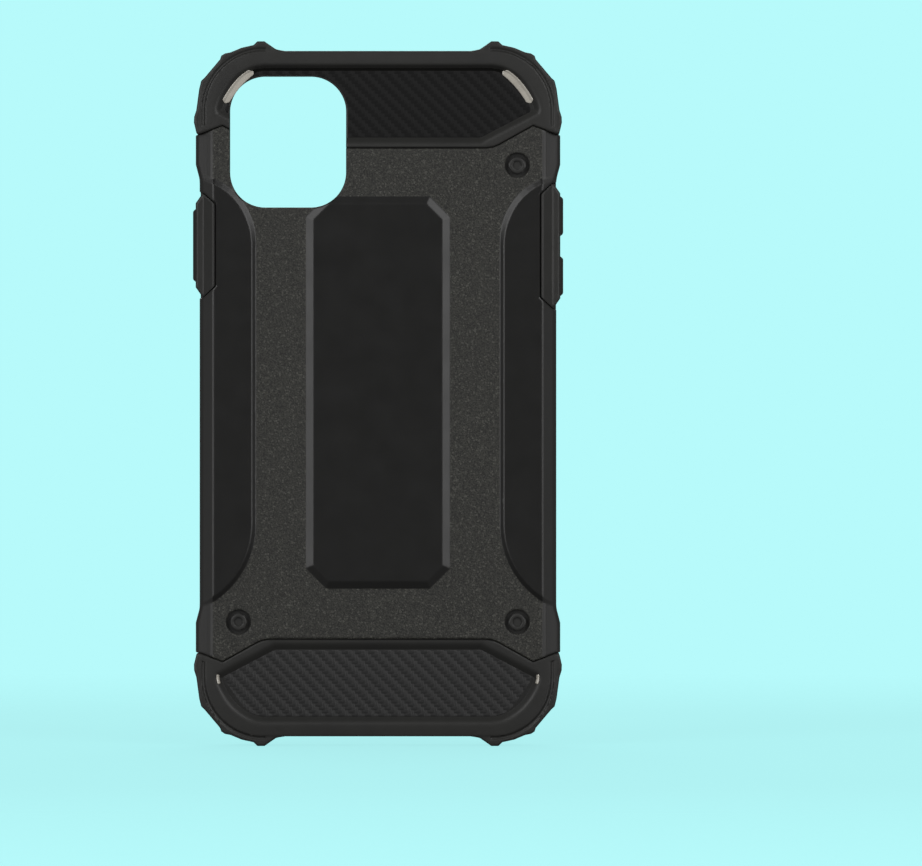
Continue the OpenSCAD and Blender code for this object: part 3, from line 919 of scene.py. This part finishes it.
def make_painted_highlight_strip(name, side, end, edges, finish):
    """A glossy light grey sheet on the chamfer at a corner of a recess: a painted highlight. side is 1 on
    the right, and end is 1 at the top. edges
    are its inner and outer edge: points in from the middle line and from the end of the case."""
    along = np.linspace(0, 1, HIGHLIGHT_ALONG)
    across = np.linspace(0, 1, HIGHLIGHT_ACROSS)[None, :, None]
    inner, outer = [smooth_line(edge, along) for edge in edges]
    from_tip = np.clip(np.minimum(along, 1 - along) / HIGHLIGHT_TAPER, HIGHLIGHT_TIP, 1)
    taper = np.sin(from_tip * math.pi / 2)[:, None, None]
    places = (inner + outer)[:, None] / 2 + (outer - inner)[:, None] * (across - 0.5) * taper
    x = places[..., 0] * side
    z = (HALF_H - places[..., 1]) * end + MID_Z
    crown = 1 - (2 * np.broadcast_to(across[..., 0], x.shape) - 1) ** 4
    proud = HIGHLIGHT_LIFT + HIGHLIGHT_CROWN * crown
    y = BAND_Y + RECESS_DEPTH * recess_share(x, z - MID_Z) - proud
    points = np.stack([x, y, z], -1).reshape(-1, 3) * MM
    quads = grid_quads(x.shape, ((0, 0), (0, 1), (1, 1), (1, 0))).reshape(-1, 4)
    strip = mesh_object(name, points, quads[:, ::-1] if side * end < 0 else quads)
    strip.data.materials.append(finish)
    thicken(strip, HIGHLIGHT_T, rim_only=False)
    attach(strip, "sleeve")


# ---------------------------------------------------------------- stage

BACKGROUND = srgb(183, 250, 251)
VIEW_W, VIEW_X, VIEW_Z = 210.3, 18.9, 71.2  # width and middle of the camera's view at the case, in mm
CAMERA_AWAY = 2.0
SENSOR_W = 36
WORLD_LIGHT = 0.15
FLOOR_GREY = (0.3, 0.3, 0.3, 1)
FLOOR_GLOW = 0.82
FLOOR_HALF = 0.62
FADE_START, FADE_END = 0.25, 0.6
LAMPS = [  # name, place, width and height in metres, and power in watts
    ("left_box", (-0.95, -1.35, 0.6), 0.95, 1.5, 12.5),
    ("right_box", (0.95, -1.35, 0.6), 0.95, 1.5, 12.5),
    ("top_box", (0, 0.55, 1.4), 1.0, 1.0, 3),
    ("front_box", (0, 1.5, 0.9), 1.2, 0.8, 9),
]


def make_camera():
    camera = bpy.data.cameras.new("camera")
    camera.sensor_width = SENSOR_W
    camera.lens = camera.sensor_width * CAMERA_AWAY / (VIEW_W * MM)
    camera.clip_end = 50
    obj = linked("camera", camera)
    obj.location = (VIEW_X * MM, -CAMERA_AWAY, VIEW_Z * MM)
    obj.rotation_euler = (math.radians(90), 0, 0)
    bpy.context.scene.camera = obj


def make_lamp(name, place, width, height, power):
    """A soft lamp that faces the case."""
    lamp = bpy.data.lights.new(name, "AREA")
    lamp.shape = "RECTANGLE"
    lamp.size = width
    lamp.size_y = height
    lamp.energy = power
    obj = linked(name, lamp)
    obj.location = place
    towards = Vector((0, 0, MID_Z * MM)) - obj.location
    obj.rotation_euler = towards.to_track_quat("-Z", "Y").to_euler()


def by_ray(nodes, links, unseen, seen):
    """A shader that is the second one for camera rays, and the first one for all others."""
    path = nodes.new("ShaderNodeLightPath")
    mix = nodes.new("ShaderNodeMixShader")
    links.new(path.outputs["Is Camera Ray"], mix.inputs[0])
    links.new(unseen, mix.inputs[1])
    links.new(seen, mix.inputs[2])
    return mix.outputs[0]


def make_world():
    world = bpy.data.worlds.new("studio")
    bpy.context.scene.world = world
    world.use_nodes = True
    nodes, links = world.node_tree.nodes, world.node_tree.links
    light = nodes["Background"]
    light.inputs["Color"].default_value = (1, 1, 1, 1)
    light.inputs["Strength"].default_value = WORLD_LIGHT
    seen = nodes.new("ShaderNodeBackground")
    seen.inputs["Color"].default_value = BACKGROUND
    seen.inputs["Strength"].default_value = 1
    surface = by_ray(nodes, links, light.outputs[0], seen.outputs[0])
    links.new(surface, nodes["World Output"].inputs["Surface"])


def make_floor():
    """A pale floor that keeps the shadow and fades into the background."""
    f = Finish("floor", roughness=0.9, colour=FLOOR_GREY)
    tint = f.node("ShaderNodeBsdfDiffuse")
    tint.inputs["Color"].default_value = BACKGROUND
    glow = f.node("ShaderNodeEmission")
    glow.inputs["Color"].default_value = BACKGROUND
    seen = f.node("ShaderNodeMixShader")
    f.feed(seen, FLOOR_GLOW, tint.outputs[0], glow.outputs[0])
    links = f.material.node_tree.links
    shade = by_ray(f.nodes, links, f.shader.outputs[0], seen.outputs[0])
    away = f.node("ShaderNodeVectorMath", operation="LENGTH")
    f.link(f.place, away.inputs[0])
    clear = f.node("ShaderNodeBsdfTransparent")
    fade = f.node("ShaderNodeMixShader")
    f.feed(fade, f.ramp(away.outputs["Value"], FADE_START, FADE_END), shade, clear.outputs[0])
    f.link(fade.outputs[0], f.nodes["Material Output"].inputs["Surface"])
    points = [(x * FLOOR_HALF, y * FLOOR_HALF, 0) for x, y in ((-1, -1), (1, -1), (1, 1), (-1, 1))]
    floor = mesh_object("floor", np.array(points), np.array([[0, 1, 2, 3]]))
    floor.data.materials.append(f.material)


def main():
    make_camera()
    make_world()
    for lamp in LAMPS:
        make_lamp(*lamp)
    make_floor()
    soft = soft_moulding("soft_black", level=43)
    make_shell([
        hard_grain(), hard_smooth("hard_polished", level=23, sheen=0.3),
        hard_smooth("hard_satin", level=42, sheen=0.4),
    ])
    make_sleeve(soft)
    make_keys(soft)
    border = soft_moulding("inlay_border", level=33)
    # The top carbon is the bottom's weave at a darker shade: painted shade, with less gloss.
    upper_weave_painted_shade = carbon_weave("carbon_upper_painted_shade", shade=0.6, gloss=0.15)
    # Near-black border along the top inlay's end: painted shade under the steep end bevel.
    painted_end_shade = soft_moulding("painted_shade_border", level=12, gloss=0.05)
    make_weave("carbon_panel_top", side=1, relief=0.07, finishes=[upper_weave_painted_shade, border, painted_end_shade])
    lower_weave = carbon_weave("carbon_lower", shade=0.96, gloss=0.35)
    make_weave("carbon_panel_bottom", side=-1, relief=0.11, finishes=[lower_weave, border, border])
    # Glossy light grey strips on the recess corners: a painted highlight.
    edge = glossy_painted_highlight()
    for side, hand in ((-1, "left"), (1, "right")):
        make_painted_highlight_strip("upper_painted_highlight_" + hand, side, 1, UPPER_HIGHLIGHT_STRIP, edge)
        make_painted_highlight_strip("lower_painted_highlight_" + hand, side, -1, LOWER_HIGHLIGHT_STRIP, edge)
    bpy.context.scene.view_settings.view_transform = "Standard"


main()
